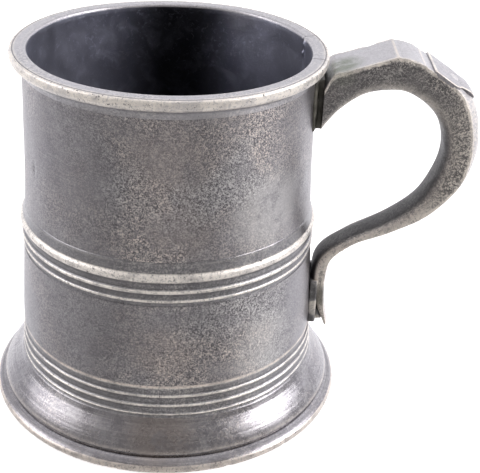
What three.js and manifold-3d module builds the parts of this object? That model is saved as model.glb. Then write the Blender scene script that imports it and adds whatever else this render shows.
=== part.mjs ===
// A pewter tankard: a turned drum on a flared foot, with a cast handle on two lugs.
// Millimetres, +Z up. The handle points along +X. The origin is on the surface that the
// tankard stands on, under the middle of its whole box, so the drum's axis lies at -X.
import * as THREE from 'three';
import { mergeVertices } from 'three/addons/utils/BufferGeometryUtils.js';
import Module from 'manifold-3d';

const wasm = await Module();
wasm.setup();

// ---- Driving dimensions ----

const SEGMENTS = 48;          // facets round every turned piece
const GAP = 0.3;              // clearance where one piece is fitted over another's facets
const WALL = 1.9;             // drum wall

const RIM_Z = 115;            // top of the flat lip
const BORE_R = 42;            // bore at the lip
const LIP_R = 47.3;           // outside of the lip's bead
const LIP_JOINT_Z = 108.5;    // seam between the lip and the upper drum
const NECK_R = 43.9;          // outside of the drum just under the lip

const GIRDLE_TOP_Z = 65.9;
const GIRDLE_BOTTOM_Z = 51.8;
const DRUM_JOINT_Z = 57;      // seam of the two drums, hidden by the girdle
const DRUM_JOINT_BORE_R = 43.1;
const GIRDLE_SEAT_R = 44.6;   // turned seat that the girdle sits on

const COLLAR_TOP_Z = 24.2;
const COLLAR_BOTTOM_Z = 13.9;
const COLLAR_SEAT_R = 46.4;   // turned seat that the reeded collar sits on
const FLOOR_R = 44.5;
const FLOOR_TOP_Z = 16.4;
const SKIRT_LEDGE_R = 43.2;   // ledge in the skirt that carries the floor plate
const SKIRT_LEDGE_Z = 12.2;

const FOOT_JOINT_Z = 3.9;     // seam between the skirt and the foot ring
const FOOT_R = 56.9;          // greatest radius of the foot
const FOOT_INNER_R = 51.4;

const PATCH_START = -10;      // lip patch, in degrees round the drum from the handle
const PATCH_END = 18;
const PATCH_SEAM = 0.3;       // width of the open seam at each end of the patch

// Each lug is a saddle of some thickness on the drum, and a neck that runs out to faceX.
const UPPER_LUG = {
  seatR: NECK_R, thickness: 1.1, bottom: 92.6, top: 108.2, width: 19, neckWidth: 13.5, faceX: 45.7,
};
const LOWER_LUG = {
  seatR: 47.1, thickness: 2.2, bottom: 24.5, top: 40, width: 14.4, neckWidth: 9, faceX: 50.7,
};

const HANDLE_STEPS = 60;      // sections along the handle
const CROWN_STEPS = 6;        // points across the handle's outer face
const ROUND_STEPS = 8;        // points round the handle's inner side

const TONGUE_THICKNESS = 1.3;
const TONGUE_STEPS = 30;
const TONGUE_CLEAR = 1.2;     // how far the tongue's seat is cut clear above it

const DRUM_AXIS_X = -19.1;    // puts the middle of the whole box on the origin

// ---- Outlines: each point is [radius or x, z] in the plane of the drum's axis ----

// A half-sine ridge from one point of an outline to another, standing proud by height.
function ridge([r0, z0], [r1, z1], height, steps = 4) {
  const points = [];
  for (let i = 0; i <= steps; i += 1) {
    const t = i / steps;
    points.push([r0 + (r1 - r0) * t + height * Math.sin(Math.PI * t), z0 + (z1 - z0) * t]);
  }
  return points;
}

// A smooth curve through a few points, cut into equal steps.
function smooth(points, steps) {
  const curve = new THREE.CatmullRomCurve3(points.map(([x, z]) => new THREE.Vector3(x, 0, z)));
  return curve.getPoints(steps).map((p) => [p.x, p.z]);
}

// The inside of a drum wall, as the outline runs from bottom to top.
function insideOf(outside) {
  return outside.map(([r, z]) => [r - WALL, z]).reverse();
}

const upperDrumOutside = smooth([
  [NECK_R, LIP_JOINT_Z], [43.9, 102], [44.1, 92], [44.35, 80], [44.75, 70], [45, GIRDLE_TOP_Z],
], 7);

const lowerDrumOutside = smooth([
  [45.9, GIRDLE_BOTTOM_Z], [46.2, 47], [46.55, 40], [46.95, 31.5], [47.1, COLLAR_TOP_Z],
], 4);

// ---- Solids ----

// Turns a closed outline into a ring. The outline runs up the inside and down the outside.
function turned(outline) {
  const points = [...outline, outline[0]].reverse().map(([r, z]) => new THREE.Vector2(r, z));
  const geometry = new THREE.LatheGeometry(points, SEGMENTS);
  geometry.rotateX(Math.PI / 2);
  geometry.rotateZ(Math.PI / 2);
  return geometry;
}

// Joins sections of equal point counts into one closed body, with a flat cap on each end.
function lofted(sections) {
  const around = sections[0].length;
  const positions = sections.flat(2);
  const indices = [];
  for (let i = 0; i + 1 < sections.length; i += 1) {
    for (let j = 0; j < around; j += 1) {
      const k = (j + 1) % around;
      const a = i * around + j;
      const b = i * around + k;
      indices.push(a, b, b + around, a, b + around, a + around);
    }
  }
  const last = (sections.length - 1) * around;
  for (let j = 1; j + 1 < around; j += 1) {
    indices.push(0, j + 1, j);
    indices.push(last, last + j, last + j + 1);
  }
  const geometry = new THREE.BufferGeometry();
  geometry.setAttribute('position', new THREE.Float32BufferAttribute(positions, 3));
  geometry.setIndex(indices);
  return geometry;
}

function toManifold(geometry) {
  const bare = geometry.clone();
  bare.deleteAttribute('normal');
  bare.deleteAttribute('uv');
  const merged = mergeVertices(bare, 1e-4);
  return new wasm.Manifold(new wasm.Mesh({
    numProp: 3,
    vertProperties: new Float32Array(merged.attributes.position.array),
    triVerts: new Uint32Array(merged.index.array),
  }));
}

function toGeometry(solid) {
  const mesh = solid.getMesh();
  const geometry = new THREE.BufferGeometry();
  geometry.setAttribute('position', new THREE.BufferAttribute(mesh.vertProperties, 3));
  geometry.setIndex(new THREE.BufferAttribute(mesh.triVerts, 1));
  return geometry;
}

// ---- The lip, in two pieces: the ring, and the patch let into it at the handle ----

const lipOutline = [
  [BORE_R, LIP_JOINT_Z], [BORE_R, RIM_Z - 1], [BORE_R + 0.3, RIM_Z - 0.3], [BORE_R + 1, RIM_Z],
  [LIP_R - 0.9, RIM_Z], [LIP_R - 0.25, RIM_Z - 0.35], [LIP_R, RIM_Z - 1.1], [LIP_R - 0.05, RIM_Z - 2.1],
  [LIP_R - 0.5, RIM_Z - 3], [LIP_R - 1.2, RIM_Z - 3.6], [NECK_R + 1, RIM_Z - 4.1],
  [NECK_R + 0.3, RIM_Z - 4.9], [NECK_R, LIP_JOINT_Z],
];

// A wedge from the drum's axis outwards, between two angles, wider by margin on each side.
function wedge(startDegrees, endDegrees, margin) {
  const start = THREE.MathUtils.degToRad(startDegrees) - margin / LIP_R;
  const end = THREE.MathUtils.degToRad(endDegrees) + margin / LIP_R;
  const reach = LIP_R * 2;
  const shape = new THREE.Shape([
    new THREE.Vector2(0, 0),
    new THREE.Vector2(reach * Math.cos(start), reach * Math.sin(start)),
    new THREE.Vector2(reach * Math.cos(end), reach * Math.sin(end)),
  ]);
  const geometry = new THREE.ExtrudeGeometry(shape, { depth: RIM_Z, bevelEnabled: false });
  geometry.translate(0, 0, RIM_Z / 2);
  return toManifold(geometry);
}

function lipRing() {
  return toGeometry(toManifold(turned(lipOutline)).subtract(wedge(PATCH_START, PATCH_END, PATCH_SEAM)));
}

function lipPatch() {
  return toGeometry(toManifold(turned(lipOutline)).intersect(wedge(PATCH_START, PATCH_END, 0)));
}

// ---- The two drums and the bands round them ----

function upperDrum() {
  return turned([
    [DRUM_JOINT_BORE_R, DRUM_JOINT_Z], ...insideOf(upperDrumOutside), ...upperDrumOutside,
    [GIRDLE_SEAT_R, GIRDLE_TOP_Z], [GIRDLE_SEAT_R, DRUM_JOINT_Z],
  ]);
}

function girdle() {
  return turned([
    [GIRDLE_SEAT_R, GIRDLE_BOTTOM_Z], [GIRDLE_SEAT_R, GIRDLE_TOP_Z], [44.95, GIRDLE_TOP_Z],
    [45.15, 65.3], [45.4, 64], [45.75, 62.6],
    ...ridge([45.85, 62.3], [45.95, 59.7], 0.7),
    [45.65, 59], [45.7, 58.2],
    ...ridge([45.85, 57.9], [45.95, 55.4], 0.65),
    [45.6, 54.8],
    ...ridge([45.7, 54.2], [45.8, 52.6], 0.4, 2),
    [45.7, GIRDLE_BOTTOM_Z],
  ]);
}

function lowerDrum() {
  return turned([
    [FLOOR_R, COLLAR_BOTTOM_Z], ...insideOf(lowerDrumOutside), [DRUM_JOINT_BORE_R, DRUM_JOINT_Z],
    [GIRDLE_SEAT_R, DRUM_JOINT_Z], [GIRDLE_SEAT_R, GIRDLE_BOTTOM_Z], ...lowerDrumOutside,
    [COLLAR_SEAT_R, COLLAR_TOP_Z], [COLLAR_SEAT_R, COLLAR_BOTTOM_Z],
  ]);
}

function reededCollar() {
  return turned([
    [COLLAR_SEAT_R, COLLAR_BOTTOM_Z], [COLLAR_SEAT_R, COLLAR_TOP_Z], [46.8, COLLAR_TOP_Z],
    ...ridge([46.85, 22], [47, 20.4], 0.5, 3), [47.05, 19],
    ...ridge([47.1, 18.9], [47.25, 17.2], 0.55, 3), [47.35, 15.8],
    ...ridge([47.4, 15.7], [47.6, 14.3], 0.4, 3), [47.9, COLLAR_BOTTOM_Z],
  ]);
}

function floorPlate() {
  const plate = new THREE.CylinderGeometry(FLOOR_R, FLOOR_R, FLOOR_TOP_Z - COLLAR_BOTTOM_Z, SEGMENTS);
  plate.rotateX(Math.PI / 2);
  plate.rotateZ(Math.PI / 2);
  plate.translate(0, 0, (FLOOR_TOP_Z + COLLAR_BOTTOM_Z) / 2);
  return plate;
}

function footSkirt() {
  const outside = smooth([
    [47.9, COLLAR_BOTTOM_Z], [48.8, 12.3], [50, 10.9], [51.2, 9.6], [52.3, 8.2], [53.4, 6.6], [54.2, 5],
  ], 7);
  const inside = smooth([[FOOT_INNER_R, FOOT_JOINT_Z], [50.2, 6.2], [48.4, 8.4], [46, 10.7]], 4);
  return turned([
    ...inside, [SKIRT_LEDGE_R, SKIRT_LEDGE_Z], [SKIRT_LEDGE_R, COLLAR_BOTTOM_Z], ...outside,
    [54.1, 4.6], [53.6, 4.2], [53.6, FOOT_JOINT_Z],
  ]);
}

function footRing() {
  return turned([
    [FOOT_INNER_R, 0], [FOOT_INNER_R, FOOT_JOINT_Z], [53.7, FOOT_JOINT_Z], [54.6, 3.5],
    [55.8, 2.8], [FOOT_R - 0.2, 2], [FOOT_R, 1.2], [FOOT_R - 0.1, 0.5], [FOOT_R - 0.5, 0],
  ]);
}

// ---- The handle ----

// Each row is one section: the edge of the outer face, the deepest point of the inner side,
// half the width, how far the outer face bulges, and how square the inner side is.
const handleRows = [
  [46, 105.6, 46, 91.8, 8.8, 0, 5],
  [48.6, 110.6, 47.8, 94.5, 9, 0, 5],
  [52.2, 111.9, 51, 98.4, 9, 0, 4.5],
  [59.4, 114.3, 58.2, 103.6, 9, 0, 4],
  [66.6, 116.8, 66.4, 105.1, 9, 0, 4],
  [72, 115.8, 71, 104.6, 9, 0, 4],
  [81.3, 110.4, 77.9, 100.3, 9, 0.2, 4],
  [87.4, 104.9, 82.1, 94.6, 9, 2, 3.2],
  [90.6, 97, 84, 88.2, 9, 3.7, 2.8],
  [92, 86.8, 83.8, 81.9, 8.9, 3.6, 2.6],
  [89.6, 75.9, 80.7, 73.4, 8.5, 3, 2.5],
  [81.1, 65.4, 77.2, 67.8, 7.9, 2.3, 2.5],
  [70.5, 58.8, 69, 61.1, 7.2, 1.9, 2.5],
  [58.5, 53.1, 57.3, 54.5, 6.6, 1.5, 2.5],
  [52.2, 47, 48.8, 47.7, 6.4, 1.3, 3.2],
  [51, 40.5, 47.1, 40.7, 6.4, 1, 5],
  [51, 32.4, 48.2, 31.9, 6.4, 0.8, 4],
  [52.7, 23.3, 51.9, 23.1, 6.3, 0.5, 4],
];

// Interpolates the rows, so that the sections run smoothly into each other.
function handleSections() {
  const edge = new THREE.CatmullRomCurve3(handleRows.map(([x, z]) => new THREE.Vector3(x, 0, z)));
  const inner = new THREE.CatmullRomCurve3(handleRows.map(([, , x, z]) => new THREE.Vector3(x, 0, z)));
  const shape = new THREE.CatmullRomCurve3(handleRows.map((row) => new THREE.Vector3(...row.slice(4))));
  const sections = [];
  for (let i = 0; i <= HANDLE_STEPS; i += 1) {
    const t = i / HANDLE_STEPS;
    const { x: half, y: crown, z: squareness } = shape.getPoint(t);
    sections.push(handleSection(edge.getPoint(t), inner.getPoint(t), half, crown, squareness));
  }
  return sections;
}

function handleSection(edge, inner, half, crown, squareness) {
  const depth = new THREE.Vector3().subVectors(inner, edge);
  const outward = depth.clone().normalize().negate();
  const points = [];
  for (let i = 0; i <= CROWN_STEPS; i += 1) {
    const across = 1 - (2 * i) / CROWN_STEPS;
    const p = edge.clone().addScaledVector(outward, crown * (1 - across * across));
    points.push([p.x, half * across, p.z]);
  }
  for (let i = 1; i < ROUND_STEPS; i += 1) {
    const angle = (Math.PI * i) / ROUND_STEPS;
    const across = -Math.sign(Math.cos(angle)) * Math.abs(Math.cos(angle)) ** (2 / squareness);
    const p = edge.clone().addScaledVector(depth, Math.sin(angle) ** (2 / squareness));
    points.push([p.x, half * across, p.z]);
  }
  return points;
}

// ---- The tongue: a strap on the shoulder of the handle, ending in a rounded tip ----

// Each row is a point of the strap's upper face in the middle plane, and half its width there.
const tongueRows = [
  [77.9, 113.3, 8.9], [84.6, 108.9, 8.9], [85.7, 108.3, 8.3], [86.9, 107.8, 6.5],
  [89.6, 106.2, 5.4], [91.5, 103.9, 3.2], [92.2, 102.4, 0.4],
];

// Sections from the strap's square end to its tip. The seat is cut with a wider, higher strap.
function tongueSections(depth, margin, rise) {
  const path = new THREE.CatmullRomCurve3(tongueRows.map(([x, z, half]) => new THREE.Vector3(x, half, z)));
  const sections = [];
  for (let i = 0; i <= TONGUE_STEPS; i += 1) {
    const { x, y, z } = path.getPoint(i / TONGUE_STEPS);
    const along = path.getTangent(i / TONGUE_STEPS).setY(0).normalize();
    const half = y + margin;
    const [topX, topZ] = [x - along.z * rise, z + along.x * rise];
    const [lowX, lowZ] = [x + along.z * depth, z - along.x * depth];
    sections.push([[topX, half, topZ], [topX, -half, topZ], [lowX, -half, lowZ], [lowX, half, lowZ]]);
  }
  return sections;
}

function tongue() {
  return lofted(tongueSections(TONGUE_THICKNESS, 0, 0));
}

// The main casting of the handle, with a seat cut for the tongue.
function handle() {
  const seat = toManifold(lofted(tongueSections(TONGUE_THICKNESS, GAP, TONGUE_CLEAR)));
  return toGeometry(toManifold(lofted(handleSections())).subtract(seat));
}

// ---- Lugs: a saddle on the drum, as wide as the handle, with a narrower neck to the handle ----

function block(x0, x1, width, z0, z1) {
  const geometry = new THREE.BoxGeometry(x1 - x0, width, z1 - z0);
  geometry.translate((x0 + x1) / 2, 0, (z0 + z1) / 2);
  return toManifold(geometry);
}

function cylinder(radius, z0, z1) {
  const geometry = new THREE.CylinderGeometry(radius, radius, z1 - z0, SEGMENTS);
  geometry.rotateX(Math.PI / 2);
  geometry.rotateZ(Math.PI / 2);
  geometry.translate(0, 0, (z0 + z1) / 2);
  return toManifold(geometry);
}

function lug({ seatR, thickness, bottom, top, width, neckWidth, faceX }) {
  const outerR = seatR + thickness;
  const saddle = cylinder(outerR, bottom, top).intersect(block(0, outerR, width, bottom, top));
  const neck = block(seatR - thickness, faceX, neckWidth, bottom, top);
  return saddle.add(neck).subtract(cylinder(seatR + GAP, bottom - 1, top + 1));
}

// The lug at the top takes the flat end of the handle.
function upperLug() {
  return toGeometry(lug(UPPER_LUG));
}

// The lug at the bottom is cut to the back of the handle's tail.
function lowerLug() {
  const tail = toManifold(lofted(handleSections()));
  const clearance = tail.translate([-GAP, 0, 0]);
  const body = lug(LOWER_LUG).subtract(clearance).subtract(tail);
  return toGeometry(body);
}

// ---- The whole tankard ----

const pewter = { color: 0x85838a, metalness: 0.9, roughness: 0.45 };
const wornPewter = { color: 0xa9a7a6, metalness: 0.9, roughness: 0.4 };
const darkPewter = { color: 0x5a5859, metalness: 0.85, roughness: 0.6 };
const solder = { color: 0x6d6b66, metalness: 0.8, roughness: 0.7 };

const pieces = [
  ['lip_ring', lipRing, wornPewter],
  ['lip_patch', lipPatch, wornPewter],
  ['upper_drum', upperDrum, pewter],
  ['girdle_band', girdle, wornPewter],
  ['lower_drum', lowerDrum, pewter],
  ['reeded_collar', reededCollar, wornPewter],
  ['floor_plate', floorPlate, darkPewter],
  ['foot_skirt', footSkirt, pewter],
  ['foot_ring', footRing, wornPewter],
  ['handle', handle, pewter],
  ['handle_tongue', tongue, wornPewter],
  ['upper_lug', upperLug, solder],
  ['lower_lug', lowerLug, solder],
];

const tankard = new THREE.Group();
tankard.position.x = DRUM_AXIS_X;
for (const [name, make, look] of pieces) {
  const mesh = new THREE.Mesh(make(), new THREE.MeshStandardMaterial(look));
  mesh.name = name;
  tankard.add(mesh);
}

export default tankard;
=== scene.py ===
"""A worn pewter tankard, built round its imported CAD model. Shapes are made in millimetres about the
drum's axis, with the handle along +X, and then moved into the row frame."""

import math

import bpy
import numpy as np
from mathutils import Matrix, Vector


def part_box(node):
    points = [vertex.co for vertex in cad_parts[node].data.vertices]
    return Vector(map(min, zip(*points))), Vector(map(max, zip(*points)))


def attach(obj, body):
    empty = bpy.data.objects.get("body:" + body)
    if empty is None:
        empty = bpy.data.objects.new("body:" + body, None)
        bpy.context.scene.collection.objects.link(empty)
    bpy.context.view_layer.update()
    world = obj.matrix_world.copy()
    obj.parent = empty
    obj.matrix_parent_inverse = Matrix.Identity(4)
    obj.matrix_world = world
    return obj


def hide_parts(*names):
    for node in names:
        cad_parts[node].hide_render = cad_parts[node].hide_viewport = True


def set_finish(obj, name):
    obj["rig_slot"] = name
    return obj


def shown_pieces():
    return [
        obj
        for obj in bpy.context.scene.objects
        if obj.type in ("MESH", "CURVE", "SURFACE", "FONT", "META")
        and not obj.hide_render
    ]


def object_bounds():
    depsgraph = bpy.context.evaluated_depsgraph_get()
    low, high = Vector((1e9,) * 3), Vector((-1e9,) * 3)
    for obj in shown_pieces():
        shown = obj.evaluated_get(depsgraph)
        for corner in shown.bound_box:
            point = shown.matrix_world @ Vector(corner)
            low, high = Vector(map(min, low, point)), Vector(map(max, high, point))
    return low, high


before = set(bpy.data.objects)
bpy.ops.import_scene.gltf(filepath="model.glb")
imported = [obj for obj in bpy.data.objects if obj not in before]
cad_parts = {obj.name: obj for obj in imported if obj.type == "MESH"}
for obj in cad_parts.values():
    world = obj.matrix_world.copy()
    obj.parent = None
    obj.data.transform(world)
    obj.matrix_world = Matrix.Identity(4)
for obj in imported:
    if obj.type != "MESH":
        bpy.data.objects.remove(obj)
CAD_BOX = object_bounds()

MM = 0.001
FOOT_LOW, FOOT_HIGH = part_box("foot_ring")
AXIS_X = (FOOT_LOW.x + FOOT_HIGH.x) / 2 / MM     # the drum's axis in the row frame

# ---- Dimensions, as the CAD has them ----

RIM_Z = 115.0
BORE_R = 42.0
LIP_R = 47.3
LIP_JOINT_Z = 108.5
NECK_R = 43.9
WALL = 1.9
GIRDLE_TOP_Z = 65.9
GIRDLE_BOTTOM_Z = 51.8
DRUM_JOINT_Z = 57.0
DRUM_JOINT_BORE_R = 43.1
GIRDLE_SEAT_R = 44.6
COLLAR_TOP_Z = 24.2
COLLAR_BOTTOM_Z = 13.9
COLLAR_SEAT_R = 46.4
FLOOR_R = 44.5
FLOOR_TOP_Z = 16.4
SKIRT_LEDGE_R = 43.2
SKIRT_LEDGE_Z = 12.2
FOOT_JOINT_Z = 3.9
FOOT_R = 56.9
FOOT_INNER_R = 51.4
PATCH_START = -10.0
PATCH_END = 18.0
PATCH_SEAM = 0.3

SEGMENTS = 384
FINE = 0.22          # spacing of points along a moulded outline
PLAIN = 0.45         # spacing along a plain wall
COARSE = 1.2         # spacing along a wall that is only seen inside


# ---- Curves and fields ----

def catmull(points, count):
    """A centripetal Catmull-Rom curve through the points, sampled at count equal parameter steps."""
    p = np.array(points, float)
    ends = [2 * p[0] - p[1], *p, 2 * p[-1] - p[-2]]
    p = np.array(ends)
    spans = len(points) - 1
    out = []
    for s in np.linspace(0, spans, count):
        i = min(int(s), spans - 1)
        t = s - i
        p0, p1, p2, p3 = p[i:i + 4]
        d0, d1, d2 = (max(np.linalg.norm(b - a), 0.0) ** 0.5 for a, b in ((p0, p1), (p1, p2), (p2, p3)))
        d1 = 1.0 if d1 < 1e-4 else d1
        d0 = d1 if d0 < 1e-4 else d0
        d2 = d1 if d2 < 1e-4 else d2
        m1 = ((p1 - p0) / d0 - (p2 - p0) / (d0 + d1) + (p2 - p1) / d1) * d1
        m2 = ((p2 - p1) / d1 - (p3 - p1) / (d1 + d2) + (p3 - p2) / d2) * d1
        out.append(
            (2 * t ** 3 - 3 * t ** 2 + 1) * p1 + (t ** 3 - 2 * t ** 2 + t) * m1
            + (-2 * t ** 3 + 3 * t ** 2) * p2 + (t ** 3 - t ** 2) * m2
        )
    return np.array(out)


def resample(points, step):
    """The same line with a point about every step of its length."""
    p = np.array(points, float)
    length = np.concatenate([[0], np.cumsum(np.linalg.norm(np.diff(p, axis=0), axis=1))])
    count = max(2, int(round(length[-1] / step)) + 1)
    s = np.linspace(0, length[-1], count)
    return np.stack([np.interp(s, length, p[:, k]) for k in range(p.shape[1])], axis=1)


def ridge(a, b, height, steps=16):
    """A half-round reed from one point of an outline to another."""
    t = np.linspace(0, 1, steps + 1)
    return [
        (a[0] + (b[0] - a[0]) * k + height * math.sin(math.pi * k) ** 0.8, a[1] + (b[1] - a[1]) * k)
        for k in t
    ]


def waves(seed, count, low, high, low_z, high_z):
    """Fixed waves round the drum and up it, for a field that joins up round the drum."""
    rng = np.random.RandomState(seed)
    return [
        (rng.randint(low, high + 1), rng.uniform(low_z, high_z) * rng.choice([-1, 1]),
         rng.uniform(0, 2 * math.pi), rng.uniform(0.5, 1))
        for _ in range(count)
    ]


def field(table, az, z):
    """The waves' sum at an angle and a height, from about -1 to 1."""
    total = sum(a * np.sin(n * az + k * z + p) for n, k, p, a in table)
    return total / math.sqrt(sum(a * a for *_, a in table))


def smoothstep(low, high, x):
    t = np.clip((x - low) / (high - low), 0, 1)
    return t * t * (3 - 2 * t)


BROAD = waves(3, 9, 2, 7, 0.01, 0.07)
PLANISHED = waves(5, 40, 9, 38, 0.1, 0.6)
ROUGH = waves(11, 60, 40, 150, 0.5, 2.2)
NICKED = waves(17, 60, 12, 120, 0.3, 3.0)


# Each row is a bruise's depth, its angle in degrees, its height, half its width and half its height.
DENTS = [
    (0.35, -47.5, 27.7, 1.3, 0.8),
    (0.28, -80.6, 68.4, 1.0, 0.8),
    (0.25, -149, 83, 1.2, 3.5),
]
SEAM_TURN = 15.6       # angle of the upright seam inside the rim, in degrees
BULGE_TURN = 60        # where the rim is pushed out of round


def dent(az, z, az0, z0, half_width, half_height):
    """1 in the middle of an oval mark, falling to 0 at its edge. The angle is in degrees."""
    across = (np.degrees(az) - az0 + 180) % 360 - 180
    u = np.radians(across) * 45 / half_width
    v = (z - z0) / half_height
    return np.clip(1 - u * u - v * v, 0, 1) ** 1.5


def hammered(r, z, az):
    """Radius of a beaten wall: slightly out of round, planished, and bruised here and there."""
    free = smoothstep(6, 16, z) * smoothstep(RIM_Z + 0.5, RIM_Z - 6, z) + 0.15
    r = r + 0.09 * free * field(BROAD, az, z) + 0.022 * free * field(PLANISHED, az, z)
    turn = np.degrees(az)
    r = r + 0.9 * np.exp(-((turn - BULGE_TURN) / 20) ** 2) * smoothstep(94, 113, z)
    bore = smoothstep(43.4, 42.8, r) * smoothstep(102, 105, z)
    r = r - 0.5 * bore * np.exp(-((turn - SEAM_TURN) / 1.2) ** 2) * (1 + 0.4 * field(ROUGH, az, z))
    for depth, *place in DENTS:
        r = r - depth * dent(az, z, *place)
    return r


# ---- Meshes ----

def normals_of(line):
    step = np.roll(line, -1, axis=0) - np.roll(line, 1, axis=0)
    step /= np.maximum(np.linalg.norm(step, axis=1, keepdims=True), 1e-9)
    return np.stack([step[:, 1], -step[:, 0]], axis=1)


SMOOTHING = 5          # points of an evened outline in one reach


def relief(line, reach):
    """How far each point of a closed outline stands out of the line smoothed over reach, in mm."""
    seg = np.linalg.norm(np.roll(line, -1, axis=0) - line, axis=1)
    total = seg.sum()
    count = max(16, int(total / (reach / SMOOTHING)))
    at = np.concatenate([[0], np.cumsum(seg)])
    s = np.linspace(0, total, count, endpoint=False)
    ring = np.vstack([line, line[:1]])
    even = np.stack([np.interp(s, at, ring[:, k]) for k in (0, 1)], axis=1)
    offsets = range(-3 * SMOOTHING, 3 * SMOOTHING + 1)
    kernel = np.exp(-0.5 * (np.array(offsets) / SMOOTHING) ** 2)
    kernel /= kernel.sum()
    soft = sum(k * np.roll(even, -o, axis=0) for o, k in zip(offsets, kernel))
    after = np.roll(line, -1, axis=0)
    turning = np.sign(np.sum(line[:, 0] * after[:, 1] - after[:, 0] * line[:, 1]))
    out = turning * ((even - soft) * normals_of(even)).sum(axis=1)
    around = np.concatenate([s, [total]])
    return np.interp(at[:-1], around, np.concatenate([out, out[:1]]))


def signed_volume(mesh):
    mesh.calc_loop_triangles()
    corners = np.zeros(len(mesh.loop_triangles) * 3, np.int32)
    mesh.loop_triangles.foreach_get("vertices", corners)
    co = np.zeros(len(mesh.vertices) * 3)
    mesh.vertices.foreach_get("co", co)
    a, b, c = co.reshape(-1, 3)[corners.reshape(-1, 3)].transpose(1, 0, 2)
    return np.einsum("ij,ij->i", a, np.cross(b, c)).sum() / 6


def make(name, vertices, faces, attributes, node, slot, sharp=38):
    """A mesh object from drum-centred millimetres, standing for a CAD node."""
    v = np.array(vertices, float)
    v[:, 0] += AXIS_X
    v *= MM
    low, high = np.array(CAD_BOX[0]), np.array(CAD_BOX[1])
    v = np.clip(v, low, high)
    mesh = bpy.data.meshes.new(name)
    mesh.from_pydata(v.tolist(), [], faces)
    if signed_volume(mesh) < 0:
        mesh.flip_normals()
    for key, values in attributes.items():
        layer = mesh.attributes.new(key, "FLOAT", "POINT")
        layer.data.foreach_set("value", np.array(values, np.float32).ravel())
    mesh.validate()
    mesh.shade_smooth()
    mesh.set_sharp_from_angle(angle=math.radians(sharp))
    obj = bpy.data.objects.new(name, mesh)
    bpy.context.scene.collection.objects.link(obj)
    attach(obj, "root")
    if node:
        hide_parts(node)
    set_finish(obj, slot)
    return obj


def turned(name, seen, hidden, slot, shape=hammered, start=0.0, end=360.0, segments=SEGMENTS, reach=0.8,
           rub=None, darkening=None, calm=()):
    """A closed ring. Its outline is seen, up the inside and down the outside, and then hidden, to close it.

    rub, and the function after it, give extra wear and a darker surface at a radius and height. At the
    heights in calm, the outline's own relief adds neither.
    """
    line = np.vstack([seen, np.array(hidden, float).reshape(-1, 2)])
    whole = end - start >= 360
    count = segments if whole else max(6, int(segments * (end - start) / 360) + 1)
    az = np.radians(np.linspace(start, end, count, endpoint=not whole))
    r, z = line[:, :1] + 0 * az, line[:, 1:] + 0 * az
    grid_az = az + 0 * r
    r2 = shape(r, z, grid_az)
    r2, z2 = r2 if isinstance(r2, tuple) else (r2, z)
    v = np.stack([r2 * np.cos(grid_az), r2 * np.sin(grid_az), z2], axis=2).reshape(-1, 3)
    n = len(line)
    faces = []
    for i in range(n):
        a, b = i * count, ((i + 1) % n) * count
        for j in range(count if whole else count - 1):
            k = (j + 1) % count
            faces.append((a + j, b + j, b + k, a + k))
    if not whole:
        faces.append([i * count for i in range(n)][::-1])
        faces.append([i * count + count - 1 for i in range(n)])
    out = relief(line, reach) * smoothstep(43.2, 43.7, line[:, 0])
    for level in calm:
        out *= 1 - np.exp(-((line[:, 1] - level) / 0.9) ** 2)
    high = np.repeat(np.clip(out, 0, None)[:, None], count, axis=1)
    deep = np.repeat(np.clip(-out, 0, None)[:, None], count, axis=1)
    if rub:
        high = np.maximum(high, rub(r, z))
    if darkening:
        deep = np.maximum(deep, darkening(r, z))
    return make(name, v, faces, {"wear": high, "dirt": deep}, name, slot)


def loft_faces(sections, around):
    """Faces of a body made of sections, with around points in each, and a cap on each end."""
    faces = []
    for i in range(sections - 1):
        for j in range(around):
            k = (j + 1) % around
            a, b = i * around, (i + 1) * around
            faces.append((a + j, a + k, b + k, b + j))
    faces.append(list(range(around))[::-1])
    faces.append([(sections - 1) * around + j for j in range(around)])
    return faces


# ---- The drum, band by band. Outlines run up the inside and down the outside ----

upper_outside = catmull([
    (NECK_R, LIP_JOINT_Z), (43.9, 102), (44.1, 92), (44.35, 80), (44.75, 70), (45, GIRDLE_TOP_Z),
], 60)
lower_outside = catmull([
    (45.9, GIRDLE_BOTTOM_Z), (46.2, 47), (46.55, 40), (46.95, 31.5), (47.1, COLLAR_TOP_Z),
], 60)


def inside_of(outside, step):
    return resample([(r - WALL, z) for r, z in outside[::-1]], step)


lip_top = [(BORE_R + 0.1, RIM_Z - 0.9), (BORE_R + 0.35, RIM_Z - 0.3), (BORE_R + 0.9, RIM_Z), (44.2, RIM_Z),
           (45.95, RIM_Z), (46.15, RIM_Z - 0.25), (46.35, RIM_Z - 0.1)]
lip_bead = catmull([
    (46.35, RIM_Z - 0.1), (46.7, RIM_Z - 0.08), (47.1, 114.5), (LIP_R, 113.7), (47.25, 112.7),
    (46.8, 111.9), (46.0, 111.4), (45.0, 111.0), (44.3, 110.4), (44.0, 109.6), (NECK_R, LIP_JOINT_Z),
], 60)
lip_line = resample(np.vstack([[(BORE_R, LIP_JOINT_Z), (BORE_R, RIM_Z - 2)], lip_top, lip_bead[1:]]), FINE)


def lip_shape(r, z, az):
    """The lip's own wear: a nicked edge on the bead, and a wavy top."""
    bead = smoothstep(45.2, 46.6, r) * smoothstep(110.5, 112, z)
    top = smoothstep(RIM_Z - 0.6, RIM_Z, z)
    nick = np.clip(field(NICKED, az, z * 0.3) - 1.1, 0, 1)
    r = hammered(r, z, az) - bead * (0.16 * nick + 0.02 * field(ROUGH, az, z))
    return r, z - top * (0.05 + 0.05 * np.clip(field(BROAD, az, 0), -1, 1)) - bead * top * 0.18 * nick


def lip_rub(r, z):
    return 0.1 * smoothstep(46.2, 46.5, r) * smoothstep(110.9, 111.8, z)


def lip_soil(r, z):
    return 0.5 * np.exp(-((r - 46.2) / 0.15) ** 2) * smoothstep(114.3, 114.6, z)


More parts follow.
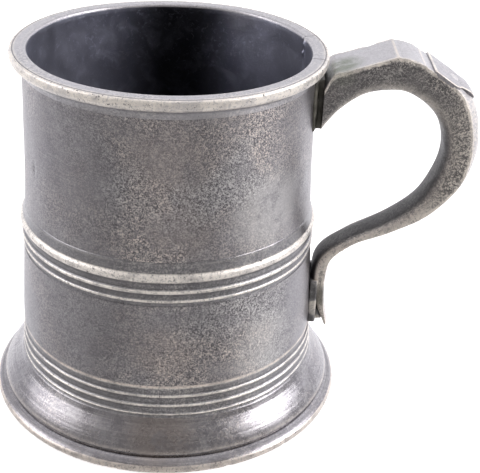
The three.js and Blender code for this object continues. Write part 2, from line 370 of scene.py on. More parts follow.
seam = math.degrees(PATCH_SEAM / LIP_R) / 2
lip_look = {"shape": lip_shape, "rub": lip_rub, "darkening": lip_soil, "calm": (LIP_JOINT_Z,)}
turned(
    "lip_ring", lip_line, [], "lip_pewter", start=PATCH_END + seam, end=360 + PATCH_START - seam, **lip_look,
)
turned(
    "lip_patch", lip_line, [], "lip_pewter", start=PATCH_START + seam, end=PATCH_END - seam,
    segments=3 * SEGMENTS, **lip_look,
)

turned(
    "upper_drum",
    np.vstack([inside_of(upper_outside, COARSE), resample(upper_outside, PLAIN)]),
    [(GIRDLE_SEAT_R, GIRDLE_TOP_Z), (GIRDLE_SEAT_R, DRUM_JOINT_Z), (DRUM_JOINT_BORE_R, DRUM_JOINT_Z)],
    "drum_pewter", calm=(LIP_JOINT_Z, GIRDLE_TOP_Z, DRUM_JOINT_Z),
)
turned(
    "girdle_band",
    resample([
        (44.75, GIRDLE_TOP_Z), (44.95, 65.75), (45.15, 65.3), (45.3, 64.5), (45.45, 63.8), (45.75, 62.7),
        *ridge((45.85, 62.3), (45.95, 59.7), 0.7), (45.65, 59.1), (45.65, 58.1),
        *ridge((45.7, 57.4), (45.8, 55.9), 0.62), (45.6, 55.4), (45.6, 54.6),
        *ridge((45.7, 54.1), (45.75, 53.0), 0.42), (45.65, 52.5), (45.7, GIRDLE_BOTTOM_Z),
    ], FINE),
    [(GIRDLE_SEAT_R, GIRDLE_BOTTOM_Z), (GIRDLE_SEAT_R, GIRDLE_TOP_Z)],
    "band_pewter", calm=(GIRDLE_TOP_Z, GIRDLE_BOTTOM_Z),
    rub=lambda r, z: 0.14 * smoothstep(62.8, 62.4, z) * smoothstep(59.5, 60.0, z),
)
turned(
    "lower_drum",
    np.vstack([
        inside_of(lower_outside, COARSE),
        [(DRUM_JOINT_BORE_R, DRUM_JOINT_Z), (GIRDLE_SEAT_R, DRUM_JOINT_Z), (GIRDLE_SEAT_R, GIRDLE_BOTTOM_Z)],
        resample(lower_outside, PLAIN),
    ]),
    [(COLLAR_SEAT_R, COLLAR_TOP_Z), (COLLAR_SEAT_R, COLLAR_BOTTOM_Z), (FLOOR_R, COLLAR_BOTTOM_Z)],
    "drum_pewter", calm=(GIRDLE_BOTTOM_Z, DRUM_JOINT_Z),
)
turned(
    "reeded_collar",
    resample([
        (46.75, COLLAR_TOP_Z), (46.8, 22.2), *ridge((46.85, 21.8), (46.95, 20.6), 0.48), (46.9, 20.4),
        (46.95, 18.8), *ridge((47.1, 18.5), (47.2, 17.4), 0.5), (47.15, 17.2),
        (47.25, 15.7), *ridge((47.4, 15.4), (47.5, 14.6), 0.36), (47.5, 14.4), (47.8, COLLAR_BOTTOM_Z),
    ], FINE),
    [(COLLAR_SEAT_R, COLLAR_BOTTOM_Z), (COLLAR_SEAT_R, COLLAR_TOP_Z)],
    "band_pewter", calm=(COLLAR_BOTTOM_Z,),
)


def disc(name, radius, low, high, slot):
    """The floor of the cup: a plate, very slightly dished, with turning rings."""
    r = np.concatenate([np.linspace(0.4, radius - 0.3, 90), [radius]])
    dish = -0.25 * (1 - (r / radius) ** 2) + 0.03 * np.sin(r * 2.1)
    dish[-1] = -0.2
    top = [(a, high + min(d, 0)) for a, d in zip(r, dish)]
    bottom = [(radius, low), (radius - 2, low), (0.4, low)]
    return turned(name, np.array(top), bottom, slot, shape=lambda a, z, az: a, segments=192)


disc("floor_plate", FLOOR_R, COLLAR_BOTTOM_Z, FLOOR_TOP_Z, "floor_pewter")

# ---- The foot ----

TURNED_MARKS = waves(23, 30, 0, 0, 1.5, 9.0)


def skirt_shape(r, z, az):
    """The turner's rings on the flare of the foot."""
    outer = smoothstep(47.9, 48.9, r)
    mark = field(TURNED_MARKS, az, z) * outer
    return hammered(r, z, az) + 0.016 * mark


skirt_outside = catmull([
    (47.9, COLLAR_BOTTOM_Z), (48.8, 12.3), (50, 10.9), (51.2, 9.6), (52.3, 8.2), (53.4, 6.6), (54.15, 5.2),
], 60)
turned(
    "foot_skirt",
    resample(np.vstack([
        [(47.6, COLLAR_BOTTOM_Z)], skirt_outside,
        [(54.1, 4.7), (53.75, 4.4), (53.5, 4.3), (53.4, FOOT_JOINT_Z)],
    ]), FINE),
    [(FOOT_INNER_R, FOOT_JOINT_Z), (50.2, 6.2), (48.4, 8.4), (46, 10.7), (SKIRT_LEDGE_R, SKIRT_LEDGE_Z),
     (SKIRT_LEDGE_R, COLLAR_BOTTOM_Z)],
    "foot_pewter", shape=skirt_shape, calm=(COLLAR_BOTTOM_Z, 4.7),
)


def ring_shape(r, z, az):
    """The foot's edge, chipped and rubbed along the bottom."""
    outer = smoothstep(54.9, 56.2, r)
    low = smoothstep(2.6, 0.8, z) * outer
    nick = np.clip(field(NICKED, az, z * 0.5) - 0.7, 0, 1.2)
    return r - 0.3 * low * nick - 0.05 * outer * (1 + np.clip(field(ROUGH, az, z), -1, 1)) * 0.5


ring_outside = catmull([
    (53.4, FOOT_JOINT_Z), (53.9, 3.85), (54.6, 3.5), (55.8, 2.8), (56.65, 1.95), (FOOT_R, 1.2),
    (56.75, 0.5), (56.4, 0.0),
], 50)
turned(
    "foot_ring", resample(ring_outside, FINE),
    [(FOOT_INNER_R, 0), (FOOT_INNER_R, FOOT_JOINT_Z)], "foot_pewter",
    shape=ring_shape, segments=540, calm=(3.6, 2.6),
    rub=lambda r, z: 0.14 * smoothstep(56.1, 56.5, r),
    # Darker on the ring's slope, between the groove and the rubbed edge.
    darkening=lambda r, z: 0.13 * smoothstep(56.0, 55.6, r) * smoothstep(54.4, 55.0, r),
)

# ---- The handle ----

# Each row is one section: the edge of the outer face, the deepest point of the inner side, half the
# width, how far the outer face bulges, and how square the inner side is.
HANDLE_ROWS = [
    (46, 105.6, 46, 91.8, 8.8, 0, 5),
    (48.6, 110.6, 47.8, 94.5, 9, 0, 5),
    (52.2, 111.9, 51, 98.4, 9, 0, 4.5),
    (59.4, 114.3, 58.2, 103.6, 9, 0, 4),
    (66.6, 116.8, 66.4, 105.1, 9, 0, 4),
    (72, 115.8, 71, 104.6, 9, 0, 4),
    (81.3, 110.4, 77.9, 100.3, 9, 0.2, 4),
    (87.4, 104.9, 82.1, 94.6, 9, 2, 3.2),
    (90.6, 97, 84, 88.2, 9, 3.7, 2.8),
    (92, 86.8, 83.8, 81.9, 8.9, 3.6, 2.6),
    (89.6, 75.9, 80.7, 73.4, 8.5, 3, 2.5),
    (81.1, 65.4, 77.2, 67.8, 7.9, 2.3, 2.5),
    (70.5, 58.8, 69, 61.1, 7.2, 1.9, 2.5),
    (58.5, 53.1, 57.3, 54.5, 6.6, 1.5, 2.5),
    (52.2, 47, 48.8, 47.7, 6.4, 1.3, 3.2),
    (51, 40.5, 47.1, 40.7, 6.4, 1, 5),
    (51, 32.4, 48.2, 31.9, 6.4, 0.8, 4),
    (52.7, 23.3, 51.9, 23.1, 6.3, 0.5, 4),
]
HANDLE_STEPS = 420
FACE_POINTS = 26
SIDE_POINTS = 40
CREASE_X = 66.6        # the ridge across the top of the handle
GROOVE_LINE_X = 74.7   # the fine line beside the cross groove
EDGE_WEAR = 0.16
# Chips in the handle's edges: share of the handle's length, which side, depth, and length as a share.
CHIPS = [
    (0.291, -1, 0.75, 0.013), (0.206, -1, 0.4, 0.009), (0.12, -1, 0.45, 0.009), (0.165, -1, 0.25, 0.006),
    (0.341, -1, 0.3, 0.005), (0.429, -1, 0.45, 0.006), (0.512, -1, 0.3, 0.008), (0.612, -1, 0.35, 0.008),
    (0.75, -1, 0.3, 0.009), (0.18, 1, 0.4, 0.01), (0.312, 1, 0.35, 0.006), (0.476, 1, 0.4, 0.009),
    (0.656, 1, 0.3, 0.007),
]


def handle_mesh():
    """The casting: a flat or bulging outer face, a rounded inner side, and chipped edges."""
    edge = catmull([row[0:2] for row in HANDLE_ROWS], HANDLE_STEPS)
    away = np.abs(edge[:, 0] - CREASE_X)
    upper = edge[:, 1] > 105
    edge[:, 1] -= upper * 0.3 * np.minimum(away / 1.2, 1) * np.exp(-(away / 5) ** 2)
    groove = smoothstep(75.0, 75.7, edge[:, 0]) * smoothstep(79.0, 78.0, edge[:, 0]) * upper
    edge[:, 1] -= 0.3 * groove
    across_x = edge[:, 0]
    lines = upper * (
        np.exp(-((across_x - GROOVE_LINE_X) / 0.35) ** 2) + np.exp(-((across_x - CREASE_X) / 0.5) ** 2)
    )
    inner = catmull([row[2:4] for row in HANDLE_ROWS], HANDLE_STEPS)
    shape = catmull([row[4:7] for row in HANDLE_ROWS], HANDLE_STEPS)
    share = np.linspace(0, 1, HANDLE_STEPS)
    face = np.cos(np.linspace(0, math.pi, FACE_POINTS))
    turn = (1 - np.cos(np.linspace(0, math.pi, SIDE_POINTS + 1)[1:-1])) / 2 * math.pi
    rng = np.random.RandomState(29)
    rough = [(rng.uniform(40, 900), rng.uniform(0, 6.3), rng.uniform(0.3, 1)) for _ in range(40)]
    vertices, high, deep, shade = [], [], [], []
    for i in range(HANDLE_STEPS):
        depth = inner[i] - edge[i]
        outward = -depth / np.linalg.norm(depth)
        half, crown, square = shape[i]
        section = []
        for a in face:
            p = edge[i] + outward * crown * (1 - a * a)
            section.append((half * a, p, 0.0))
        for angle in turn:
            a = -np.sign(math.cos(angle)) * abs(math.cos(angle)) ** (2 / square)
            p = edge[i] + depth * math.sin(angle) ** (2 / square)
            section.append((half * a, p, math.sin(angle) ** (2 / square)))
        flat = np.array([(y, (p - edge[i]) @ outward) for y, p, _ in section])
        out = relief(flat, 0.8)
        wander = sum(a * math.sin(f * share[i] + ph) for f, ph, a in rough) / math.sqrt(len(rough) / 3)
        for (y, p, side), o in zip(section, out):
            a = y / half
            near = np.exp(-((1 - abs(a)) / 0.07) ** 2) * math.exp(-(((p - edge[i]) @ outward) / 0.9) ** 2)
            cut = sum(d * math.exp(-((share[i] - at) / w) ** 2) for at, s, d, w in CHIPS if s * a > 0)
            bite = near * (cut + 0.07 * (1 + wander))
            q = p - outward * bite * 0.7
            vertices.append((q[0], y * (1 - 0.6 * bite / half), q[1]))
            if side == 0:
                worn = EDGE_WEAR * math.exp(-((1 - abs(a)) / 0.06) ** 2)
            else:
                worn = EDGE_WEAR * smoothstep(0.14, 0.03, side)
            high.append(max(o, 0, worn * (1 + 0.5 * wander)) + (0.12 * lines[i] if side == 0 else 0))
            deep.append(max(-o, 0) + 0.5 * near * cut)
            shade.append(side)
    around = len(section)
    bend = smoothstep(0.32, 0.47, np.repeat(share, around))
    attributes = {"wear": high, "dirt": deep, "side": shade, "bend": bend}
    return vertices, loft_faces(HANDLE_STEPS, around), attributes


make("handle", *handle_mesh(), "handle", "handle_pewter", sharp=50)

# Each row is a point of the strap's upper face, and half its width there.
TONGUE_ROWS = [
    (77.9, 113.3, 8.9), (84.6, 108.9, 8.9), (85.7, 108.3, 8.3), (86.9, 107.8, 6.5),
    (89.6, 106.2, 5.4), (91.5, 103.9, 3.2), (92.2, 102.4, 0.4),
]
TONGUE_THICKNESS = 1.3
TONGUE_STEPS = 200


def tongue_mesh():
    """The strap, with a raised rim, lying down into the handle as it nears its tip."""
    path = catmull(TONGUE_ROWS, TONGUE_STEPS)
    tangent = np.gradient(path[:, :2], axis=0)
    tangent /= np.linalg.norm(tangent, axis=1, keepdims=True)
    a = np.cos(np.linspace(0, math.pi, 24))
    upper_face = [(x, 0.0) for x in a]
    lower_face = [(-x, 1.0) for x in a[::4]]
    levels = (0.25, 0.5, 0.75)
    section = [*upper_face, *((-1.0, k) for k in levels), *lower_face, *((1.0, k) for k in levels[::-1])]
    vertices, high, deep = [], [], []
    for i, ((px, pz, half), t) in enumerate(zip(path, tangent)):
        share = i / (TONGUE_STEPS - 1)
        tip = smoothstep(0.3, 0.6, share)
        ends = min(share, 1 - share) * (TONGUE_STEPS - 1)
        ease = 0.2 * math.exp(-ends / 2)
        for x, k in section:
            across = half * x
            rim = 0.2 * math.exp(-half * (1 - abs(x)) / 0.3) if k == 0 else 0.0
            crown = 0.45 * tip * (across / 9) ** 2
            down = k * (TONGUE_THICKNESS - crown) + crown + (max(rim, ease) if k == 0 else 0.0)
            vertices.append((px + t[1] * down, across, pz - t[0] * down))
            high.append(0.35 * max(rim, ease) / 0.2 if k == 0 else 0)
            # Dirt and painted shade: the lower half of the strap's sides and its underside darken toward the
            # tip, where it steps down onto the handle.
            deep.append(0.3 * tip if k > 0.4 else 0)
    around = len(section)
    return vertices, loft_faces(TONGUE_STEPS, around), {"wear": high, "dirt": deep}


make("handle_tongue", *tongue_mesh(), "handle_tongue", "tongue_pewter", sharp=50)


# ---- Lugs and solder ----

def soldered(node, voxel, spread, rough):
    """A lug's CAD shape, run together with solder: rounded, uneven, and spread onto its neighbours."""
    source = bpy.data.objects.new("work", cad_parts[node].data.copy())
    bpy.context.scene.collection.objects.link(source)
    remesh = source.modifiers.new("remesh", "REMESH")
    remesh.mode = "VOXEL"
    remesh.voxel_size = voxel * MM
    soften = source.modifiers.new("soften", "SMOOTH")
    soften.factor, soften.iterations = 0.5, 6
    graph = bpy.context.evaluated_depsgraph_get()
    mesh = bpy.data.meshes.new_from_object(source.evaluated_get(graph))
    bpy.data.objects.remove(source)
    count = len(mesh.vertices)
    co, no = np.zeros(count * 3), np.zeros(count * 3)
    mesh.vertices.foreach_get("co", co)
    mesh.vertices.foreach_get("normal", no)
    co = co.reshape(-1, 3) / MM
    co[:, 0] -= AXIS_X
    no = no.reshape(-1, 3)
    rng = np.random.RandomState(31)
    bumps = np.zeros(count)
    for _ in range(50):
        k = rng.normal(0, 0.9, 3)
        bumps += np.sin(co @ k + rng.uniform(0, 6.3))
    bumps /= 5.0
    middle = (co[:, 0].min() + co[:, 0].max()) / 2
    half = (co[:, 0].max() - co[:, 0].min()) / 2
    stretch = (co[:, 0] - middle) / half
    co = co + no * (rough * bumps)[:, None]
    co[:, 0] += stretch * spread
    faces = [tuple(p.vertices) for p in mesh.polygons]
    bpy.data.meshes.remove(mesh)
    return co, faces, {"wear": np.clip(bumps * 0.12, 0, 1), "dirt": np.clip(0.1 - bumps * 0.12, 0, 1)}


make("upper_lug", *soldered("upper_lug", 0.35, 0.4, 0.05), "upper_lug", "solder", sharp=80)
make("lower_lug", *soldered("lower_lug", 0.3, 0.4, 0.05), "lower_lug", "solder", sharp=80)


# ---- Materials ----

class Nodes:
    """A small way of writing a node tree as sums."""

    def __init__(self, tree):
        self.tree = tree
        tree.nodes.clear()

    def add(self, kind, inputs=(), **settings):
        node = self.tree.nodes.new(kind)
        for key, value in settings.items():
            setattr(node, key, value)
        for key, value in dict(inputs).items():
            self.feed(node.inputs[key], value)
        return node

    def feed(self, socket, value):
        if isinstance(value, bpy.types.NodeSocket):
            self.tree.links.new(value, socket)
        else:
            socket.default_value = value

    def math(self, operation, a, b=0.0, c=0.0, clamp=False):
        inputs = {0: a, 1: b, 2: c}
        return self.add("ShaderNodeMath", inputs, operation=operation, use_clamp=clamp).outputs[0]

    def times(self, a, b, clamp=False):
        return self.math("MULTIPLY", a, b, clamp=clamp)

    def vector(self, operation, a, b=(0.0, 0.0, 0.0)):
        node = self.add("ShaderNodeVectorMath", {0: a, 1: b}, operation=operation)
        return node.outputs["Value" if operation in ("DOT_PRODUCT", "LENGTH") else 0]

    def ramp(self, value, low, high, start=0.0, end=1.0, smooth=True):
        kind = "SMOOTHSTEP" if smooth else "LINEAR"
        return self.add(
            "ShaderNodeMapRange", {0: value, 1: low, 2: high, 3: start, 4: end}, interpolation_type=kind,
        ).outputs[0]

    def noise(self, place, scale, detail=3.0, roughness=0.5, distortion=0.0):
        return self.add("ShaderNodeTexNoise", {
            "Vector": place, "Scale": scale, "Detail": detail, "Roughness": roughness,
            "Distortion": distortion,
        }).outputs[0]

    def mix(self, share, a, b):
        node = self.add("ShaderNodeMix", data_type="RGBA")
        self.feed(node.inputs[0], share)
        self.feed(node.inputs[6], a if isinstance(a, bpy.types.NodeSocket) else (*a, 1.0))
        self.feed(node.inputs[7], b if isinstance(b, bpy.types.NodeSocket) else (*b, 1.0))
        return node.outputs[2]

    def place(self, vector, rotation=(0, 0, 0), scale=(1, 1, 1), move=(0, 0, 0)):
        turn = [math.radians(a) for a in rotation]
        inputs = {"Vector": vector, "Location": move, "Rotation": turn, "Scale": scale}
        return self.add("ShaderNodeMapping", inputs).outputs[0]

    def attribute(self, name):
        return self.add("ShaderNodeAttribute", attribute_name=name).outputs["Fac"]

    def component(self, vector, axis):
        return self.add("ShaderNodeSeparateXYZ", {0: vector}).outputs[axis]


def darker(colour, share):
    return [c * share for c in colour]


def crossing_scratches(n, mm):
    """Fine scratches in three directions, as one value."""
    strokes = None
    for k, turn in enumerate(((12, 25, 40), (70, 10, 110), (35, 80, 75))):
        line = n.noise(n.place(mm, turn, (0.3, 2.4, 2.4), (9 * k, 4 * k, 0)), 1.0, 3.0, 0.6, 0.5)
        line = n.ramp(line, 0.6, 0.68)
        strokes = line if strokes is None else n.math("MAXIMUM", strokes, line)
    return strokes


def turning_marks(n, mm):
    """Noise drawn out round the axis, as a lathe leaves it."""
    flat = n.vector("MULTIPLY", mm, (1, 1, 0))
    along = n.math("SUBTRACT", n.component(mm, 2), n.vector("LENGTH", flat))
    around = n.vector("MULTIPLY", n.vector("NORMALIZE", flat), (2.2, 2.2, 0))
    lift = n.add("ShaderNodeCombineXYZ", {2: n.times(along, 2.2)}).outputs[0]
    return n.noise(n.vector("ADD", around, lift), 1.0, 3.0, 0.65, 0.2)


def cast_colour(n, colour, speck, edges, pit, dark, warm):
    """The handle's colours: a smooth outer face, a rubbed outer side, and painted shade on the inner
    rounding.
    """
    side = n.attribute("side")
    bend = n.attribute("bend")
    face_colour = n.mix(n.ramp(speck, 0.4, 0.6), (0.50, 0.49, 0.51), (0.6, 0.59, 0.61))
    face_colour = n.mix(n.times(edges, 0.8), face_colour, warm)
    face_colour = n.mix(n.times(pit, 0.5), face_colour, dark)
    colour = n.mix(n.ramp(side, 0.0, 0.04), face_colour, colour)
    rubbed = n.times(n.ramp(side, 0.93, 0.7), bend)
    rubbed = n.times(rubbed, n.ramp(speck, 0.48, 0.55, 0.1, 1.0))
    colour = n.mix(n.times(rubbed, 0.8), colour, warm)
    # Painted shade along the inner rounding of the sides, strongest on the lower arm.
    inner_shade = n.times(n.ramp(side, 0.72, 0.93), n.math("ADD", n.times(bend, 0.85), 0.05))
    return n.mix(inner_shade, colour, darker(dark, 0.3))


def inside_tarnish_and_shade(n, mm, colour, cloudy, tarnish_and_sheen, limit):
    """Blue-grey tarnish in the wall, with painted shade where x is near the axis and painted sheen at the
    sides.
    """
    height = n.component(mm, 2)
    radius = n.vector("LENGTH", n.vector("MULTIPLY", mm, (1, 1, 0)))
    wall = n.ramp(height, 66.0, 108.0, limit + 0.9, limit, False)
    within = n.ramp(n.math("SUBTRACT", wall, radius), -0.3, 0.3)
    within = n.times(within, n.ramp(height, 114.4, 113.9))
    pale = n.ramp(n.noise(mm, 0.6, 4.0, 0.7, 1.0), 0.56, 0.66)
    pale = n.times(pale, n.ramp(height, 80, 112, 0.1, 0.7))
    across = n.math("ABSOLUTE", n.math("DIVIDE", n.component(mm, 0), BORE_R))
    # Painted shade: near black where x is near the axis; painted sheen, clouds and pale patches toward the
    # sides.
    inner = n.mix(n.ramp(across, 0.1, 0.8), darker(tarnish_and_sheen, 0.05), tarnish_and_sheen)
    cloud = n.times(n.ramp(cloudy, 0.45, 0.7), n.ramp(across, 0.1, 0.6, 0.04, 0.3))
    inner = n.mix(cloud, inner, darker(tarnish_and_sheen, 1.4))
    inner = n.mix(n.times(pale, n.ramp(across, 0.1, 0.7, 0.1, 0.6)), inner, darker(tarnish_and_sheen, 1.6))
    return n.mix(within, colour, inner)


def pewter(name, dark, mid, bright, warm, grain=1.0, clouds=0.5, wear=1.0, pits=0.4, rings=0.0,
           roughness=0.36, relief_mm=0.07, scale=1.0, busy=None, inside=None, stains_and_painted_light=(), cast=False):
    """Old pewter: a clouded patina full of fine flecks, crossing scratches, pits, and bright worn edges.

    grain, clouds, wear, pits and rings are strengths. busy is the direction from the axis in which the grain
    is strongest. Each stain, and each patch of painted shade and of painted sheen, is a colour, a centre, a
    reach in mm and a strength.
    """
    material = bpy.data.materials.new(name)
    material.use_nodes = True
    n = Nodes(material.node_tree)
    where = n.add("ShaderNodeTexCoord").outputs["Object"]
    mm = n.vector("MULTIPLY", n.vector("SUBTRACT", where, (AXIS_X * MM, 0, 0)), (1000, 1000, 1000))
    worn = n.attribute("wear")
    dirt_and_shade_attr = n.attribute("dirt")

    broad = n.noise(mm, 0.05, 3.0, 0.55)
    cloudy = n.noise(n.place(mm, move=(31, 7, 90)), 0.15, 4.0, 0.6, 0.6)
    grit = n.noise(mm, 1.3 * scale, 2.0, 0.6, 1.0)
    worms = n.noise(n.place(mm, move=(5, 60, 12)), 0.75 * scale, 3.0, 0.6, 2.4)
    speck = n.math("ADD", n.times(grit, 0.5), n.times(worms, 0.5))
    strokes = crossing_scratches(n, mm)

    amount = n.ramp(broad, 0.4, 0.6, 0.45, 1.0)
    if busy:
        outward = n.vector("NORMALIZE", n.vector("MULTIPLY", mm, (1, 1, 0)))
        facing = n.vector("DOT_PRODUCT", outward, busy)
        amount = n.times(amount, n.ramp(facing, 0.7, 0.97, 0.4, 1.15))
    amount = n.times(amount, grain)
    light = n.times(n.ramp(speck, 0.505, 0.575), amount, clamp=True)
    hollow = n.times(n.ramp(speck, 0.49, 0.425), amount, clamp=True)
    cloud = n.ramp(cloudy, 0.32, 0.68, 0.5 - clouds / 2, 0.5 + clouds / 2)
    colour = n.mix(cloud, dark, mid)
    warmth = n.noise(n.place(mm, move=(70, 20, 5)), 0.05, 2.0)
    fleck_colour = n.mix(n.ramp(warmth, 0.4, 0.58), bright, warm)
    colour = n.mix(n.times(light, 0.85), colour, fleck_colour)
    colour = n.mix(n.times(hollow, 0.85), colour, darker(dark, 0.45))
    colour = n.mix(n.times(strokes, 0.2), colour, bright)

    ring = turning_marks(n, mm) if rings else None
    if rings:
        colour = n.mix(n.times(n.ramp(ring, 0.5, 0.72), rings * 0.4), colour, bright)
        colour = n.mix(n.times(n.ramp(ring, 0.48, 0.3), rings * 0.4), colour, dark)

    edge_noise = n.ramp(n.noise(mm, 1.5, 4.0, 0.7), 0.36, 0.5, 0.35, 1.0)
    patchy = n.ramp(n.noise(n.place(mm, move=(2, 90, 40)), 0.22, 2.0, 0.5), 0.36, 0.56, 0.62, 1.0)
    edge_noise = n.times(edge_noise, patchy)
    edges = n.times(n.times(n.ramp(worn, 0.02, 0.12), edge_noise), wear, clamp=True)
    colour = n.mix(edges, colour, warm)
    pit = n.ramp(n.noise(n.place(mm, move=(3, 44, 8)), 1.0, 4.0, 0.75), 0.6, 0.67)
    pit = n.times(n.times(pit, pits), n.ramp(worn, 0.0, 0.1, 0.35, 1.0), clamp=True)
    colour = n.mix(pit, colour, darker(dark, 0.3))
    # Darker with dirt in the hollows, with painted shade under the strap's edge, and on the foot ring's
    # slope.
    dirt_and_shade_amount = n.ramp(dirt_and_shade_attr, 0.03, 0.25)
    colour = n.mix(n.times(dirt_and_shade_amount, 0.55), colour, darker(dark, 0.4))
    if cast:
        colour = cast_colour(n, colour, speck, edges, pit, dark, warm)
    # Stains, and patches of painted shade and painted sheen.
    for patch_colour, centre, reach, strength in stains_and_painted_light:
        away = n.vector("LENGTH", n.vector("SUBTRACT", mm, centre))
        spot = n.times(n.ramp(away, reach, reach * 0.35), n.ramp(cloudy, 0.35, 0.5, 0.4, 1.0))
        colour = n.mix(n.times(spot, strength), colour, patch_colour)
    if inside:
        colour = inside_tarnish_and_shade(n, mm, colour, cloudy, *inside)

    rough = n.ramp(cloudy, 0.3, 0.7, roughness - 0.04, roughness + 0.06)
    rough = n.math("ADD", rough, n.times(hollow, 0.12))
    rough = n.math("ADD", rough, n.times(edges, 0.12))
    rough = n.math("ADD", rough, n.times(dirt_and_shade_amount, 0.25), clamp=True)

    height = n.math("ADD", n.times(speck, 1.3), cloudy)
    height = n.math("ADD", height, n.times(strokes, -0.25))
    height = n.math("SUBTRACT", height, pit)
    if rings:
        height = n.math("ADD", height, n.times(ring, 0.8 * rings))
    bump = n.add("ShaderNodeBump", {"Height": height, "Distance": relief_mm * MM, "Strength": 0.8})
    bare = n.math("MAXIMUM", n.times(edges, 0.2), n.times(light, 0.15))
    metallic = n.math("SUBTRACT", 0.92, bare)
    shader = n.add("ShaderNodeBsdfPrincipled", {
        "Base Color": colour, "Roughness": rough, "Metallic": metallic, "Normal": bump.outputs[0],
    })
    out = n.add("ShaderNodeOutputMaterial")
    n.tree.links.new(shader.outputs[0], out.inputs[0])
    return material


DARK = (0.24, 0.23, 0.25)
MID = (0.40, 0.39, 0.41)
BRIGHT = (0.72, 0.71, 0.70)
WARM = (0.86, 0.77, 0.70)
RUST = (0.46, 0.385, 0.345)
UMBER = (0.3, 0.25, 0.22)
VERDIGRIS = (0.20, 0.23, 0.17)
# painted shade for the gap behind the handle's lower joint
LOWER_JOINT_SHADE = (0.10, 0.10, 0.08)
# painted shade for the recess round the upper lug
UPPER_RECESS_SHADE = (0.11, 0.105, 0.085)
# the inside's blue-grey tarnish, which also carries the painted sheen at the sides of the bore
TARNISH_AND_SHEEN = (0.46, 0.47, 0.56)
BORE_LIMIT = 42.9                    # radius within which the wall gets the tarnish and painted shade, at the lip
BUSY_SIDE = (0.29, -0.957, 0)

LOOKS = {
    "lip_pewter": {
        "dark": (0.42, 0.41, 0.43), "mid": (0.56, 0.55, 0.58), "bright": (0.7, 0.69, 0.7),
        "warm": (0.96, 0.90, 0.82), "grain": 0.4, "clouds": 0.4, "pits": 1.2, "wear": 0.85,
        "roughness": 0.32, "inside": (TARNISH_AND_SHEEN, BORE_LIMIT),
    },
    "drum_pewter": {
        "dark": DARK, "mid": MID, "bright": BRIGHT, "warm": WARM, "grain": 1.05, "clouds": 0.4,
        "pits": 0.2, "rings": 0.3, "scale": 1.5, "busy": BUSY_SIDE, "inside": (TARNISH_AND_SHEEN, BORE_LIMIT),
        "stains_and_painted_light": [
            # The two BRIGHT patches are painted sheen on the drum's front-right; the RUST patches are
            # stains.
            (BRIGHT, (32, -32, 77), 17, 0.4), (BRIGHT, (31, -35, 33), 15, 0.4),
            (RUST, (3, -44, 96), 17, 0.2), (RUST, (6, -44, 75), 13, 0.2), (RUST, (2, -47, 36), 12, 0.2),
        ],
    },
    "band_pewter": {
        "dark": (0.24, 0.235, 0.25), "mid": (0.36, 0.355, 0.37), "bright": BRIGHT,
        "warm": (0.94, 0.89, 0.83), "grain": 0.4, "pits": 0.9, "roughness": 0.3, "busy": BUSY_SIDE,
    },
    "foot_pewter": {
        "dark": (0.22, 0.21, 0.23), "mid": (0.36, 0.35, 0.37), "bright": BRIGHT,
        "warm": (0.85, 0.77, 0.70), "grain": 0.3, "rings": 0.8, "pits": 0.7, "wear": 0.85,
        "roughness": 0.25, "relief_mm": 0.035, "stains_and_painted_light": [(UMBER, (1, -51, 10), 14, 0.5)],
    },
    "floor_pewter": {
        "dark": (0.05, 0.05, 0.055), "mid": (0.09, 0.09, 0.1), "bright": (0.2, 0.2, 0.2),
        "warm": (0.2, 0.18, 0.16), "rings": 0.5,
    },
    "handle_pewter": {
        "dark": (0.17, 0.165, 0.17), "mid": (0.28, 0.27, 0.27), "bright": (0.62, 0.59, 0.56),
        "warm": (0.88, 0.82, 0.75), "grain": 0.85, "pits": 0.8, "roughness": 0.42, "relief_mm": 0.16,
        "scale": 1.2, "cast": True,
        # The first patch is a verdigris stain; the second is painted shade in the gap behind the lower
        # joint.
        "stains_and_painted_light": [(VERDIGRIS, (51, -3, 111), 8.5, 0.75), (LOWER_JOINT_SHADE, (50.5, -6.4, 34), 5.5, 0.75)],
    },
    "tongue_pewter": {
        "dark": (0.31, 0.30, 0.32), "mid": (0.39, 0.38, 0.41), "bright": (0.6, 0.59, 0.6),
        "warm": (0.88, 0.82, 0.75), "grain": 0.3, "clouds": 0.4, "pits": 0.4, "roughness": 0.34,
    },
    "solder": {
        "dark": (0.26, 0.26, 0.26), "mid": (0.38, 0.37, 0.38), "bright": (0.6, 0.59, 0.57),
        "warm": (0.7, 0.66, 0.6), "grain": 0.6, "pits": 0.5, "roughness": 0.45,
        # Painted shade in the recess round the upper lug.
        "stains_and_painted_light": [(UPPER_RECESS_SHADE, (45, -7, 100), 16, 0.85)],
    },
}
looks = {name: pewter(name, **look) for name, look in LOOKS.items()}
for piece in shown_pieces():
    if "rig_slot" in piece:
        piece.data.materials.clear()
        piece.data.materials.append(looks[piece["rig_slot"]])


# ---- Studio: a pale floor, and soft light that leaves the camera's side of the room dim ----

def pale_floor():
    mesh = bpy.data.meshes.new("floor")
    size = 4.0
    corners = [(-size, -size, 0), (size, -size, 0), (size, size, 0), (-size, size, 0)]
    mesh.from_pydata(corners, [], [(0, 1, 2, 3)])
    floor = bpy.data.objects.new("floor", mesh)
    bpy.context.scene.collection.objects.link(floor)
    floor.location.z = -0.0002
    material = bpy.data.materials.new("pale_floor")
    material.use_nodes = True
    n = Nodes(material.node_tree)
    shader = n.add("ShaderNodeBsdfPrincipled", {
        "Base Color": (0.9, 0.9, 0.9, 1), "Roughness": 0.9,
        "Emission Color": (1, 1, 1, 1), "Emission Strength": 0.55,
    })
    out = n.add("ShaderNodeOutputMaterial")
    n.tree.links.new(shader.outputs[0], out.inputs[0])
    mesh.materials.append(material)
    floor.visible_glossy = False


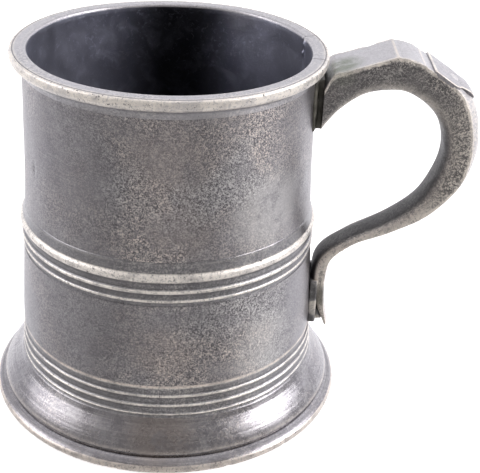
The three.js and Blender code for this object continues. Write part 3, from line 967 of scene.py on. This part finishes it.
def toward(azimuth, elevation):
    """A direction: azimuth 0 is the camera's side, and 90 is the handle's side."""
    a, e = math.radians(azimuth), math.radians(elevation)
    return (math.sin(a) * math.cos(e), -math.cos(a) * math.cos(e), math.sin(e))


# Each card is a soft patch of light in the room's wall: its azimuth and elevation, the cosines at which it
# starts and is full, and its strength. A negative strength is a dark patch.
CARDS = [
    (83, 31, 0.95, 0.985, 6.0), (94, 34, 0.94, 0.975, 1.6), (120, 38, 0.92, 0.975, 0.8),
    (-86, 30, 0.90, 0.975, 2.5),
    (4, -28, 0.95, 0.99, 0.22), (-42, -28, 0.90, 0.985, -0.08), (34, -28, 0.95, 0.985, -0.16),
    (80, -26, 0.86, 0.97, 0.5), (150, -15, 0.7, 0.96, 0.6), (-150, -15, 0.7, 0.96, 0.5),
]


def studio_light():
    """The room: pale toward the back and overhead, with the cards on it. The camera sees plain white."""
    world = bpy.data.worlds.new("studio")
    bpy.context.scene.world = world
    world.use_nodes = True
    n = Nodes(world.node_tree)
    look = n.add("ShaderNodeTexCoord").outputs["Generated"]
    parts = n.add("ShaderNodeSeparateXYZ", {0: look})
    back, up = parts.outputs[1], parts.outputs[2]
    level = n.ramp(back, -0.75, 0.15, 0.36, 0.62)
    level = n.math("ADD", level, n.ramp(back, 0.15, 0.95, 0.0, 0.4))
    level = n.math("ADD", level, n.ramp(up, 0.80, 0.93, 0.0, 0.4))
    for azimuth, elevation, low, high, power in CARDS:
        near = n.vector("DOT_PRODUCT", look, toward(azimuth, elevation))
        level = n.math("ADD", level, n.ramp(near, low, high, 0.0, power))
    tint = n.mix(n.ramp(back, -0.6, 0.4), (1.0, 0.965, 0.95), (0.975, 0.965, 1.0))
    soft = n.add("ShaderNodeBackground", {0: tint, 1: level})
    plain = n.add("ShaderNodeBackground", {0: (1, 1, 1, 1), 1: 1.0})
    seen = n.add("ShaderNodeLightPath").outputs["Is Camera Ray"]
    mixed = n.add("ShaderNodeMixShader", {0: seen, 1: soft.outputs[0], 2: plain.outputs[0]})
    out = n.add("ShaderNodeOutputWorld")
    n.tree.links.new(mixed.outputs[0], out.inputs[0])


def camera():
    yaw, pitch, roll = math.radians(0.682), math.radians(27.825), math.radians(2.592)
    forward = Vector((math.sin(yaw) * math.cos(pitch), math.cos(yaw) * math.cos(pitch), -math.sin(pitch)))
    right = Vector((math.cos(yaw), -math.sin(yaw), 0))
    up = right.cross(forward)
    x = right * math.cos(roll) + up * math.sin(roll)
    y = -right * math.sin(roll) + up * math.cos(roll)
    data = bpy.data.cameras.new("camera")
    data.sensor_width = 36
    data.lens = 81.863
    data.clip_start, data.clip_end = 0.01, 20
    obj = bpy.data.objects.new("camera", data)
    bpy.context.scene.collection.objects.link(obj)
    place = Vector(((AXIS_X + 19.44) * MM, -312.54 * MM, 216.46 * MM))
    rotation = Matrix((x, y, -forward)).transposed().to_4x4()
    obj.matrix_world = Matrix.Translation(place) @ rotation
    bpy.context.scene.camera = obj


pale_floor()
studio_light()
camera()
bpy.context.scene.view_settings.view_transform = "Standard"
